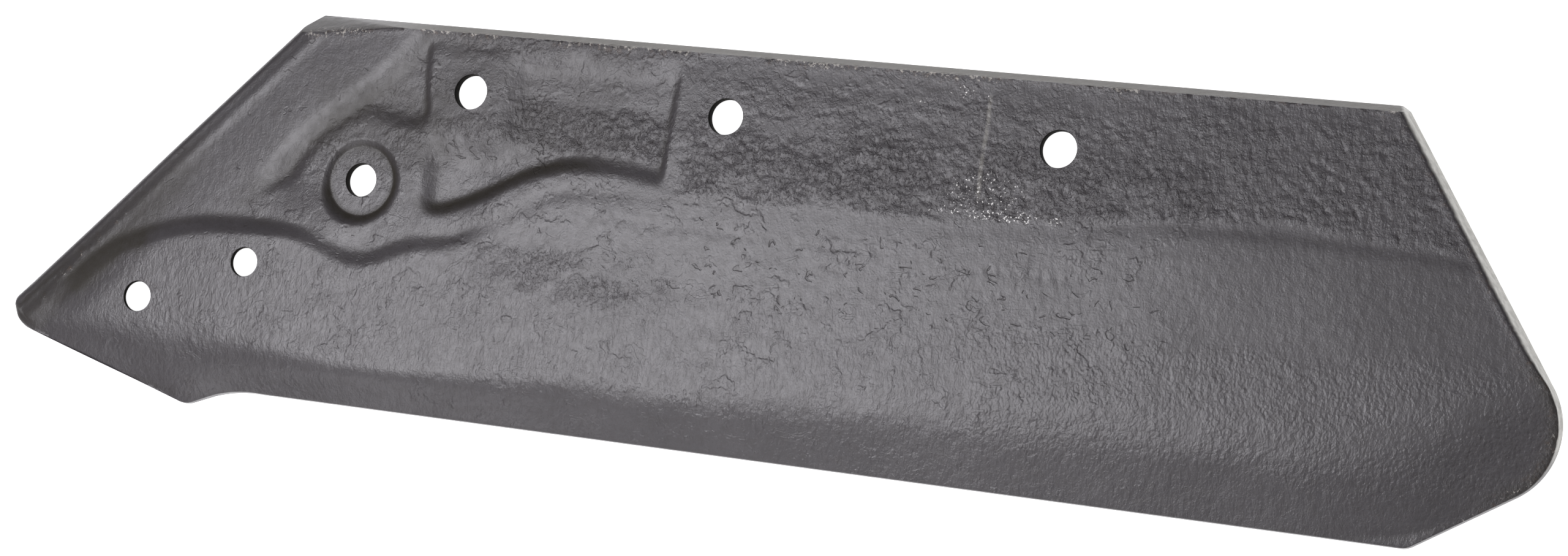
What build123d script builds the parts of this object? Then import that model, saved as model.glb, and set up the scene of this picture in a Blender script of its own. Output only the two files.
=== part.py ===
from build123d import *
import math
import os
import numpy as np

# Plough share, one hot-forged piece, lying on its flat soil face with its ribbed back up.
# X runs along the bolt edge from the nose (-X) to the wing (+X), Y from the cutting edge
# to the bolt edge, Z through the thickness. Origin: bottom centre of the bounding box.
# All sizes in millimetres. The drawing below is made with its zero at the corner where
# the landside edge meets the bolt edge, and the finished solid is then shifted.

# ---------------------------------------------------------------- driving dimensions
TOP_CORNER = (-1.1, 0.95)          # landside edge meets bolt edge
WING_TOP = (397.3, 1.2)          # end of the bolt edge
WING_CLIP = (399.9, -0.4)        # small clipped corner
WING_CORNER = (471.4, -107.1)    # where wing edge and heel edge would meet
WING_R = 26.0                    # rounding of that corner
HEEL_R = 7.0                     # blunting of the heel corner
HEEL = (416.2, -141.85)           # end of the cutting edge
CUT_START = (-4.0, -139.15)       # cutting edge leaves the notch
HOOK_TOP = (-31.2, -144.9)      # notch runs into the hook
HOOK_LOW = (-38.0, -145.1)      # hook runs into the lower nose edge
NOSE_LOW = (-102.6, -125.75)     # lower corner of the nose
NOSE_TIP = (-109.81, -117.83)
NOSE_HIGH = (-108.96, -113.415)     # nose runs into the landside edge

DRAFT = 4.0                      # forging draft of the rim, degrees
WING_DRAFT = 9.0                 # stronger draft along the straight wing edge
LAND_R = 3.3                     # rounding of the landside edge
LAND_Z = 9.05                    # level of the rounded edge
LAND_TILT = 0.11                 # outward fall of the band beside it, near the nose

T_JOINT = 8.9                    # thickness at the bolt edge
JOINT_SLOPE = 0.026              # gain per mm towards the cutting edge
T_BAND = 9.6                     # flat band along the landside edge
T_WORK = 10.7                    # working zone behind the step
NOSE_GAIN = 2.1
WORK_SLOPE = 0.020               # loss per mm towards the cutting edge
EDGE_T = 3.0                     # thickness at the cutting edge
BEVEL = 0.385                    # rise of the cutting bevel
POCKET_DEPTH = 1.30
DISH = (27.2, -58.6)             # nut seat round the middle hole
DISH_Z = 7.5                     # level of its flat floor
DISH_R = 12.6                    # radius of its flat floor
DISH_RISE = 0.68                 # rise of its conical wall

# holes: x, y, radius, round land left at the back, countersink radius at the flat face
HOLES = {
    "bolt_1": (66.15, -23.2, 6.3, 3.7, 12.5),
    "bolt_2": (164.7, -23.7, 6.35, 3.5, 12.5),
    "bolt_3": (285.5, -24.3, 6.4, 3.5, 12.5),
    "frog": (26.8, -58.3, 6.0, 3.3, 12.0),
    "nose_1": (-55.1, -109.4, 5.5, 1.5, 13.0),
    "nose_2": (-13.2, -92.6, 5.25, 1.7, 13.0),
}
NECK_OVER = 0.35                 # square socket half width over the hole radius


# ---------------------------------------------------------------- relief of the back
def smooth(x):
    """0 below -1, 1 above 1, with an even blend between"""
    t = np.clip((np.asarray(x, float) + 1.0) / 2.0, 0.0, 1.0)
    return t * t * t * (t * (6.0 * t - 15.0) + 10.0)


def soft_min(a, b, k):
    h = np.clip(0.5 + 0.5 * (b - a) / k, 0.0, 1.0)
    return b * (1.0 - h) + a * h - k * h * (1.0 - h)


def through(points, n=6):
    """points on a smooth line through the given ones"""
    p = np.array(points, float)
    p = np.vstack([2 * p[0] - p[1], p, 2 * p[-1] - p[-2]])
    out = []
    for i in range(1, len(p) - 2):
        a, b, c, d = p[i - 1 : i + 3]
        for k in range(n):
            t = k / n
            out.append(
                0.5
                * (
                    2 * b
                    + (c - a) * t
                    + (2 * a - 5 * b + 4 * c - d) * t**2
                    + (3 * b - a - 3 * c + d) * t**3
                )
            )
    out.append(p[-2])
    return np.array(out)


def side(u, v, line):
    """distance to a line, positive on its left, and the line's third value there"""
    best = np.full(u.shape, 1e9)
    dist = np.zeros(u.shape)
    value = np.zeros(u.shape)
    last = len(line) - 2
    for i in range(last + 1):
        a, b = line[i], line[i + 1]
        dx, dy = b[0] - a[0], b[1] - a[1]
        t = ((u - a[0]) * dx + (v - a[1]) * dy) / (dx * dx + dy * dy)
        tc = np.clip(t, -50.0 if i == 0 else 0.0, 50.0 if i == last else 1.0)
        d = np.hypot(u - a[0] - tc * dx, v - a[1] - tc * dy)
        near = d < best - 1e-9
        sign = np.where(dx * (v - a[1]) - dy * (u - a[0]) >= 0, 1.0, -1.0)
        best = np.where(near, d, best)
        dist = np.where(near, sign * d, dist)
        value = np.where(near, a[2] + np.clip(t, 0, 1) * (b[2] - a[2]), value)
    return dist, value


# Each line: x, y, half width of the slope that follows it.
# middle of the rise to the thick nose and working zone, nose to wing
STEP = through([
    (-101, -136, 8.6), (-95.6, -120.6, 7.4), (-88.6, -112.8, 6.4), (-81.9, -105, 5.7),
    (-76.5, -99.5, 5.4), (-70.1, -94, 5.3), (-64.3, -90.4, 5.2), (-57.2, -87.3, 5.1),
    (-46.4, -83.7, 5.0), (-32.7, -80.6, 5.0), (-18.5, -79.6, 4.9), (-4.6, -79.4, 4.6),
    (4.3, -80.0, 4.4), (12.6, -82, 4.4), (20.5, -85, 4.5), (29.8, -86.9, 4.6),
    (36.8, -85.9, 4.5), (44.1, -82.8, 4.5), (52.3, -79.6, 4.4), (61.2, -78.5, 4.3),
    (69.7, -76.5, 4.1), (77.9, -73.1, 3.8), (86.1, -69.6, 3.1), (94.7, -64.8, 3),
    (102, -60.4, 3.2), (110, -57.8, 3.6), (118, -57, 4), (128, -56.8, 4.6),
    (150, -56.6, 5), (200, -56.4, 5.2), (250, -55.6, 5), (280, -54, 4.6),
    (305, -51.4, 3.8), (330, -49, 3.2), (355, -48, 3), (385, -48.4, 3), (415, -49.8, 3),
    (445, -51, 3),
])
# crest along the band beside the landside edge, where it falls to the valley
CREST = through([
    (48, 4, 6), (44, -4, 6), (38, -12, 6), (30, -20, 6), (22, -27, 6), (15, -33, 6),
    (7, -39, 6), (0, -46, 6), (-7, -54, 6), (-14, -61.5, 6), (-22, -68, 6),
    (-32, -73.5, 6), (-44, -79, 6),
])
# far side of the valley, where it rises to the ground round the nut seat
BANK = through([
    (47, 5, 2.2), (47.4, -3, 2.2), (48.2, -18, 1.9), (49.4, -27, 1.8), (50, -32.5, 2.6),
    (46.5, -36.2, 4.2), (38, -35.5, 5.0), (29, -34.2, 5.0), (21, -36, 4.8),
    (13, -41, 4.8), (7, -47, 4.2), (3, -54, 3.8), (-1, -59.5, 3.8), (-7, -63.5, 3.8),
    (-14, -67, 4.0), (-30, -73, 4.2),
])
# middle of the pocket's long lower wall
POCKET = through([
    (46, -60, 3.8), (51.5, -64.2, 3.6), (57, -66, 3.5), (62.5, -65.2, 3.4),
    (70.5, -62, 3.4), (78.4, -58.4, 3.4), (85.5, -54.4, 3.5), (92.6, -50.8, 3.6),
    (99.2, -48.2, 3.8), (108.6, -45.6, 4), (116, -44.9, 4.2), (122.6, -45, 4.5),
    (130, -45.4, 4.7), (136.4, -46, 4.8), (146, -47.6, 4.8), (156, -50, 4.8),
])
LAND_N = (0.7281, -0.6855)       # inward normal of the landside edge


def height(u, v):
    """thickness of the share at u, v"""
    u = np.asarray(u, float)
    v = np.asarray(v, float)
    edge = LAND_N[0] * u + LAND_N[1] * v
    # band, valley and the ground round the nut seat
    crest, w = side(u, v, CREST)
    crown = np.minimum(-soft_min(edge - 27.0, np.zeros(u.shape), 8.0), 23.0)
    z = T_BAND - 0.034 * crown
    z = z - 1.55 * smooth((crest - 1.0) / w) * smooth((u + 8.0) / 11.0) * smooth((-v - 2.0) / 6.0)
    z = z - 0.45 * np.exp(-(((u - 37.0) / 10.0) ** 2 + ((v + 29.5) / 4.8) ** 2))
    z = z - 0.45 * np.exp(-(((u + 1.5) / 4.5) ** 2 + ((v + 57.5) / 6.5) ** 2))
    bank, w = side(u, v, BANK)
    rise = 0.85 + 0.85 * smooth((-v - 66.0) / 11.0) * smooth((26.0 - u) / 12.0)
    rise = rise + 0.55 * smooth((u - 24.0 + (-v - 59.0)) / 22.0)
    z = z + rise * smooth(bank / w) * smooth((u + 8.0) / 11.0) * smooth((-v - 6.0) / 8.0)
    # plain joint zone behind the bolt edge
    faint = smooth((u - 122.0) / 14.0) * smooth((316.0 - u) / 20.0)
    joint = T_JOINT + JOINT_SLOPE * soft_min(np.clip(-v, -2.0, 60.0), 62.0 - 24.0 * faint, 14.0)
    k = smooth((u - 75.0) / 14.0)
    z = z * (1.0 - k) + joint * k
    # pocket under the first two bolts
    wall, w = side(u, v, POCKET)
    shoulder = smooth((u - 54.3 - 0.06 * (-v - 50.0)) / 6.0)
    plateau = smooth((u - 83.5) / 7.5)
    low = smooth((-v - 43.0) / 8.0)
    left = shoulder * (low + (1.0 - low) * plateau)
    right = smooth((145.0 + 0.045 * (v + 20.0) - u) / 1.9)
    top = smooth((-v - 10.6) / 6.0)
    depth = (POCKET_DEPTH + 0.029 * np.clip(-v - 12.0, 0.0, 50.0)) * (1.0 - 0.42 * smooth((u - 112.0) / 16.0))
    depth = depth * (1.0 - 0.26 * smooth((70.0 - u) / 11.0) * smooth((-v - 36.0) / 8.0))
    z = z - depth * smooth(wall / w) * left * right * top
    # rib between the pocket and the step
    z = z + 0.22 * smooth((-wall - 1.5) / 3.5) * smooth((u - 52.0) / 8.0) * smooth((150.0 - u) / 30.0)
    # step up to the working zone, with a trench beside it near the nose
    s, w = side(u, v, STEP)
    s = -s
    work = T_WORK + NOSE_GAIN * smooth((28.0 - u) / 88.0) - WORK_SLOPE * np.clip(-v - 57.0, 0.0, 70.0)
    work = work - 0.34 * smooth((u - 140.0) / 34.0) - 0.44 * smooth((u - 130.0) / 30.0) * smooth((302.0 - u) / 40.0)
    z = z - 0.20 * (1.0 - faint) * smooth((u - 50.0) / 10.0) * smooth((300.0 - u) / 30.0) * smooth((s + 5.0) / 2.8)
    work = work - 0.9 * smooth((20.0 - edge) / 8.0) * smooth((-u - 42.0) / 12.0)
    z = z - 0.40 * np.exp(-(((u + 66.0) / 10.5) ** 2 + ((v + 90.5) / 7.0) ** 2)) * smooth((edge - 8.5) / 3.0)
    z = z + 1.5 * smooth((-u - 88.0) / 11.0) * smooth((edge - 6.0) / 5.0)
    z = z - LAND_TILT * np.clip(11.0 - edge, 0.0, 8.0) * smooth((-u - 58.0) / 22.0)
    z = z + (work - z) * smooth(s / w)
    # cutting bevel, carried round the heel
    cut = v + 139.15 + 0.0064 * u
    heel = (416.2 - u) * 0.5216 + (v + 141.85) * 0.8532
    slope = BEVEL + 0.25 * smooth((62.0 - u) / 70.0) - 0.15 * smooth((u - 172.0) / 110.0)
    hook = np.exp(-(((u + 34.0) / 15.0) ** 2))
    cut = cut + 3.2 * hook
    slope = slope - 0.125 * hook
    run = soft_min(cut, heel, 18.0)
    bevel = EDGE_T + slope * run + 0.16 * np.clip(-run, 0.0, 8.0)
    bevel = -soft_min(-bevel, np.full(u.shape, -1.3), 0.8)
    z = soft_min(z, bevel, 2.0 + 4.5 * smooth((6.0 - u) / 44.0))
    # low ridge beside the rounded landside edge
    z = z + 0.28 * np.exp(-(((edge - 6.2) / 2.2) ** 2))
    return z


def relief_cutter():
    """everything above the relief of the back"""
    us = np.concatenate([
        np.arange(-120.0, 153.0, 3.0), np.arange(156.0, 312.0, 12.0), np.arange(312.0, 477.0, 9.0)
    ])
    vs = np.linspace(-154.0, 8.0, 68)
    at = [(v - vs[0]) / (vs[-1] - vs[0]) for v in vs]
    sections = []
    for u in us:
        z = height(np.full(len(vs), u), vs)
        line = Edge.make_spline([Vector(u, v, h) for v, h in zip(vs.tolist(), z.tolist())], parameters=at)
        a, b = Vector(u, vs[0], z[0]), Vector(u, vs[-1], z[-1])
        a_up, b_up = Vector(u, vs[0], 30.0), Vector(u, vs[-1], 30.0)
        sections.append(Wire([line, Edge.make_line(b, b_up), Edge.make_line(b_up, a_up), Edge.make_line(a_up, a)]))
    return Solid.make_loft(sections)


# ---------------------------------------------------------------- outline
def corner_arc(before, corner, after, r):
    """start, middle and end of an arc of radius r that rounds a corner"""
    c = Vector(*corner)
    a = (Vector(*before) - c).normalized()
    b = (Vector(*after) - c).normalized()
    half = math.acos(max(-1.0, min(1.0, a.dot(b)))) / 2
    t = r / math.tan(half)
    mid = (a + b).normalized()
    return c + a * t, c + mid * (r / math.sin(half) - r), c + b * t


def outline():
    w0, wm, w1 = corner_arc(WING_CLIP, WING_CORNER, HEEL, WING_R)
    h0, hm, h1 = corner_arc(w1, HEEL, CUT_START, HEEL_R)
    parts = [
        Edge.make_line(Vector(*TOP_CORNER), Vector(*WING_TOP)),
        Edge.make_line(Vector(*WING_TOP), Vector(*WING_CLIP)),
        Edge.make_line(Vector(*WING_CLIP), w0),
        Edge.make_three_point_arc(w0, wm, w1),
        Edge.make_line(w1, h0),
        Edge.make_three_point_arc(h0, hm, h1),
        Edge.make_line(h1, Vector(*CUT_START)),
        Edge.make_three_point_arc(Vector(*CUT_START), Vector(-13.9, -139.6), Vector(-23.0, -141.7)),
        Edge.make_line(Vector(-23.0, -141.7), Vector(*HOOK_TOP)),
        Edge.make_three_point_arc(Vector(*HOOK_TOP), Vector(-34.4, -145.7), Vector(*HOOK_LOW)),
        Edge.make_line(Vector(*HOOK_LOW), Vector(*NOSE_LOW)),
        Edge.make_three_point_arc(Vector(*NOSE_LOW), Vector(-106.94, -122.46), Vector(*NOSE_TIP)),
        Edge.make_three_point_arc(Vector(*NOSE_TIP), Vector(-109.92, -115.5), Vector(*NOSE_HIGH)),
        Edge.make_line(Vector(*NOSE_HIGH), Vector(*TOP_CORNER)),
    ]
    return Face(Wire(parts))


def blank():
    return extrude(outline(), amount=17.0, dir=(0, 0, 1), taper=DRAFT)


# ---------------------------------------------------------------- edge work
def prism_between(points, start, along, length):
    """a prism: section points (inward distance, height), run along a straight line"""
    d = Vector(*along).normalized()
    n = Vector(-d.Y, d.X, 0)          # inward side is the left of the direction
    o = Vector(*start)
    ring = [o + n * a + Vector(0, 0, b) for a, b in points]
    edges = [Edge.make_line(ring[i], ring[(i + 1) % len(ring)]) for i in range(len(ring))]
    return Solid.extrude(Face(Wire(edges)), d * length)


def landside_cutter():
    d = (Vector(*TOP_CORNER) - Vector(*NOSE_HIGH)).normalized()
    # run downwards so that the inward side lies on the left
    start = Vector(*TOP_CORNER) + d * 12.0
    box = prism_between([(-6, LAND_Z - LAND_R), (LAND_R + 0.55, LAND_Z - LAND_R), (LAND_R + 0.55, 20), (-6, 20)], (start.X, start.Y), (-d.X, -d.Y), 190.0)
    n = Vector(d.Y, -d.X, 0)
    axis_at = start + n * (LAND_R + 0.55) + Vector(0, 0, LAND_Z - LAND_R)
    rod = Solid.make_cylinder(LAND_R, 200.0, Plane(origin=axis_at + d * 4.0, z_dir=-d))
    return box - rod


def joint_cutters():
    # bevel along the whole bolt edge
    long_cut = prism_between([(-8.0, 1.2), (0.0, 1.2), (3.3, 9.3), (6.6, 17.4), (6.6, 30), (-8.0, 30)], (420.0, WING_TOP[1] + 0.02), (-1.0, -0.00075), 440.0)
    # deeper bevel at the corner beside the landside edge: plane through three points
    a, b, c = Vector(-2.0, -7.9, 9.3), Vector(36.0, -2.5, 9.3), Vector(8.0, 0.9, 2.6)
    normal = (b - a).cross(c - a).normalized()
    if normal.Z < 0:
        normal = normal * -1
    x_dir = (b - a).normalized()
    origin = a - x_dir * 50.0 - normal.cross(x_dir) * 70.0
    corner_cut = Solid.make_box(140, 140, 40, Plane(origin=origin, x_dir=x_dir, z_dir=normal))
    # the wing edge leans back more than the rest, and runs out into the wing corner
    d = (Vector(*WING_CLIP) - Vector(*WING_CORNER)).normalized()
    start = Vector(*WING_CORNER) - d * 25.0
    lean = 16.0 * math.tan(math.radians(WING_DRAFT))
    wing_cut = prism_between([(-8.0, 1.0), (0.0, 1.0), (lean, 17.0), (lean, 30.0), (-8.0, 30.0)], (start.X, start.Y), (d.X, d.Y), 190.0)
    return long_cut, corner_cut, wing_cut


def hole_cutter(x, y, r, land, head, top):
    """round hole, square socket and countersink of a plough bolt, from the flat face"""
    cut = Solid.make_cylinder(r, 40.0, Plane((x, y, -5.0)))
    depth = top - land
    flare = (head - r) / depth
    cut = cut + Solid.make_cone(head + flare, r, depth + 1.0, Plane((x, y, -1.0)))
    s = r + NECK_OVER
    neck = Solid.make_box(2 * s, 2 * s, depth + 1.0, Plane((x - s, y - s, -1.0)))
    return cut + neck


def share():
    body = blank()
    body = body - relief_cutter()
    body = body - landside_cutter()
    for cutter in joint_cutters():
        body = body - cutter
    # nut seat: flat floor and conical wall
    x, y = DISH
    lift = 8.0
    seat = Solid.make_cone(DISH_R, DISH_R + lift / DISH_RISE, lift, Plane((x, y, DISH_Z)))
    body = body - seat
    for name, (x, y, r, land, head) in HOLES.items():
        top = DISH_Z if name == "frog" else float(height(np.array([x]), np.array([y]))[0])
        body = body - hole_cutter(x, y, r, land, head, top)
    return body


if __name__ == "__main__":
    os.makedirs("parts", exist_ok=True)
    body = share()
    solids = body.solids()
    body = max(solids, key=lambda s: s.volume)
    box = body.bounding_box()
    shift = Vector(-(box.min.X + box.max.X) / 2, -(box.min.Y + box.max.Y) / 2, -box.min.Z)
    body = body.moved(Location(shift))
    export_step(body, "parts/share.step")
    print("solids", len(solids), "volume mm3", round(body.volume), "shift", shift)
    print("size", body.bounding_box().size)
    for name, (x, y, r, land, head) in HOLES.items():
        top = DISH_Z if name == "frog" else float(height(np.array([x]), np.array([y]))[0])
        print(name, round(x + shift.X, 3), round(y + shift.Y, 3), r, "land", round(top - land, 3), "to", round(top, 3))
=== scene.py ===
import math
import bpy
import numpy as np
from mathutils import Matrix, Vector
from mathutils.geometry import delaunay_2d_cdt
from mathutils.kdtree import KDTree


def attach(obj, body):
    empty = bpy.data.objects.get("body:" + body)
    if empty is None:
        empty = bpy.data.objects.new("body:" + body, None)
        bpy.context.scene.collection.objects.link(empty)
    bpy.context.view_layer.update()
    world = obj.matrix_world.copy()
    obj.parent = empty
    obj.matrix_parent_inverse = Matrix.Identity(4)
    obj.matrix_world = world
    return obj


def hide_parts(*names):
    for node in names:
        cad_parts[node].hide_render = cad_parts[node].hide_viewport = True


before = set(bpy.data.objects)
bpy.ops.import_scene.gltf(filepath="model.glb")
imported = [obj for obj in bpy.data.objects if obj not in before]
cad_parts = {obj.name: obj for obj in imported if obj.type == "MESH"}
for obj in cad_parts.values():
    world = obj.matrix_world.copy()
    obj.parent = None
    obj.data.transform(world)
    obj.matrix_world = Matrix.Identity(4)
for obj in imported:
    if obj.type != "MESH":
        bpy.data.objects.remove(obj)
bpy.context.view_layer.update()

# Plough share, one forged piece, lying on its flat face with its back up.
# Drawing coordinates u, v in millimetres have their zero at the corner where the landside
# edge meets the bolt edge. The model's own frame is the same, shifted and in metres.
SHIFT_U, SHIFT_V = 175.448, -72.2554

TOP_CORNER = (-1.1, 0.95)
WING_TOP = (397.3, 1.2)
WING_CLIP = (399.9, -0.4)
WING_CORNER = (471.4, -107.1)
WING_R = 26.0
HEEL_R = 7.0
HEEL = (416.2, -141.85)
CUT_START = (-4.0, -139.15)
HOOK_TOP = (-31.2, -144.9)
HOOK_LOW = (-38.0, -145.1)
NOSE_LOW = (-102.6, -125.75)
NOSE_TIP = (-109.81, -117.83)
NOSE_HIGH = (-108.96, -113.415)

DRAFT = 4.0
WING_DRAFT = 9.0
LAND_R = 3.3
LAND_Z = 9.05
LAND_TILT = 0.11

T_JOINT = 8.9
JOINT_SLOPE = 0.026
T_BAND = 9.6
T_WORK = 10.7
NOSE_GAIN = 2.1
WORK_SLOPE = 0.020
EDGE_T = 3.0
BEVEL = 0.385
POCKET_DEPTH = 1.30
DISH = (27.2, -58.6)
DISH_Z = 7.5
DISH_R = 12.6
DISH_RISE = 0.68

# x, y, radius, round land at the back, countersink radius at the flat face
HOLES = {
    "bolt_1": (66.15, -23.2, 6.3, 3.7, 12.5),
    "bolt_2": (164.7, -23.7, 6.35, 3.5, 12.5),
    "bolt_3": (285.5, -24.3, 6.4, 3.5, 12.5),
    "frog": (26.8, -58.3, 6.0, 3.3, 12.0),
    "nose_1": (-55.1, -109.4, 5.5, 1.5, 13.0),
    "nose_2": (-13.2, -92.6, 5.25, 1.7, 13.0),
}
NECK_OVER = 0.35
# ---------------------------------------------------------------- relief of the back
def smooth(x):
    """0 below -1, 1 above 1, with an even blend between"""
    t = np.clip((np.asarray(x, float) + 1.0) / 2.0, 0.0, 1.0)
    return t * t * t * (t * (6.0 * t - 15.0) + 10.0)


def soft_min(a, b, k):
    h = np.clip(0.5 + 0.5 * (b - a) / k, 0.0, 1.0)
    return b * (1.0 - h) + a * h - k * h * (1.0 - h)


def through(points, n=6):
    """points on a smooth line through the given ones"""
    p = np.array(points, float)
    p = np.vstack([2 * p[0] - p[1], p, 2 * p[-1] - p[-2]])
    out = []
    for i in range(1, len(p) - 2):
        a, b, c, d = p[i - 1 : i + 3]
        for k in range(n):
            t = k / n
            out.append(
                0.5
                * (
                    2 * b
                    + (c - a) * t
                    + (2 * a - 5 * b + 4 * c - d) * t**2
                    + (3 * b - a - 3 * c + d) * t**3
                )
            )
    out.append(p[-2])
    return np.array(out)


def side(u, v, line):
    """distance to a line, positive on its left, and the line's third value there"""
    best = np.full(u.shape, 1e9)
    dist = np.zeros(u.shape)
    value = np.zeros(u.shape)
    last = len(line) - 2
    for i in range(last + 1):
        a, b = line[i], line[i + 1]
        dx, dy = b[0] - a[0], b[1] - a[1]
        t = ((u - a[0]) * dx + (v - a[1]) * dy) / (dx * dx + dy * dy)
        tc = np.clip(t, -50.0 if i == 0 else 0.0, 50.0 if i == last else 1.0)
        d = np.hypot(u - a[0] - tc * dx, v - a[1] - tc * dy)
        near = d < best - 1e-9
        sign = np.where(dx * (v - a[1]) - dy * (u - a[0]) >= 0, 1.0, -1.0)
        best = np.where(near, d, best)
        dist = np.where(near, sign * d, dist)
        value = np.where(near, a[2] + np.clip(t, 0, 1) * (b[2] - a[2]), value)
    return dist, value


# Each line: x, y, half width of the slope that follows it.
# middle of the rise to the thick nose and working zone, nose to wing
STEP = through([
    (-101, -136, 8.6), (-95.6, -120.6, 7.4), (-88.6, -112.8, 6.4), (-81.9, -105, 5.7),
    (-76.5, -99.5, 5.4), (-70.1, -94, 5.3), (-64.3, -90.4, 5.2), (-57.2, -87.3, 5.1),
    (-46.4, -83.7, 5.0), (-32.7, -80.6, 5.0), (-18.5, -79.6, 4.9), (-4.6, -79.4, 4.6),
    (4.3, -80.0, 4.4), (12.6, -82, 4.4), (20.5, -85, 4.5), (29.8, -86.9, 4.6),
    (36.8, -85.9, 4.5), (44.1, -82.8, 4.5), (52.3, -79.6, 4.4), (61.2, -78.5, 4.3),
    (69.7, -76.5, 4.1), (77.9, -73.1, 3.8), (86.1, -69.6, 3.1), (94.7, -64.8, 3),
    (102, -60.4, 3.2), (110, -57.8, 3.6), (118, -57, 4), (128, -56.8, 4.6),
    (150, -56.6, 5), (200, -56.4, 5.2), (250, -55.6, 5), (280, -54, 4.6),
    (305, -51.4, 3.8), (330, -49, 3.2), (355, -48, 3), (385, -48.4, 3), (415, -49.8, 3),
    (445, -51, 3),
])
# crest along the band beside the landside edge, where it falls to the valley
CREST = through([
    (48, 4, 6), (44, -4, 6), (38, -12, 6), (30, -20, 6), (22, -27, 6), (15, -33, 6),
    (7, -39, 6), (0, -46, 6), (-7, -54, 6), (-14, -61.5, 6), (-22, -68, 6),
    (-32, -73.5, 6), (-44, -79, 6),
])
# far side of the valley, where it rises to the ground round the nut seat
BANK = through([
    (47, 5, 2.2), (47.4, -3, 2.2), (48.2, -18, 1.9), (49.4, -27, 1.8), (50, -32.5, 2.6),
    (46.5, -36.2, 4.2), (38, -35.5, 5.0), (29, -34.2, 5.0), (21, -36, 4.8),
    (13, -41, 4.8), (7, -47, 4.2), (3, -54, 3.8), (-1, -59.5, 3.8), (-7, -63.5, 3.8),
    (-14, -67, 4.0), (-30, -73, 4.2),
])
# middle of the pocket's long lower wall
POCKET = through([
    (46, -60, 3.8), (51.5, -64.2, 3.6), (57, -66, 3.5), (62.5, -65.2, 3.4),
    (70.5, -62, 3.4), (78.4, -58.4, 3.4), (85.5, -54.4, 3.5), (92.6, -50.8, 3.6),
    (99.2, -48.2, 3.8), (108.6, -45.6, 4), (116, -44.9, 4.2), (122.6, -45, 4.5),
    (130, -45.4, 4.7), (136.4, -46, 4.8), (146, -47.6, 4.8), (156, -50, 4.8),
])
LAND_N = (0.7281, -0.6855)       # inward normal of the landside edge


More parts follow.
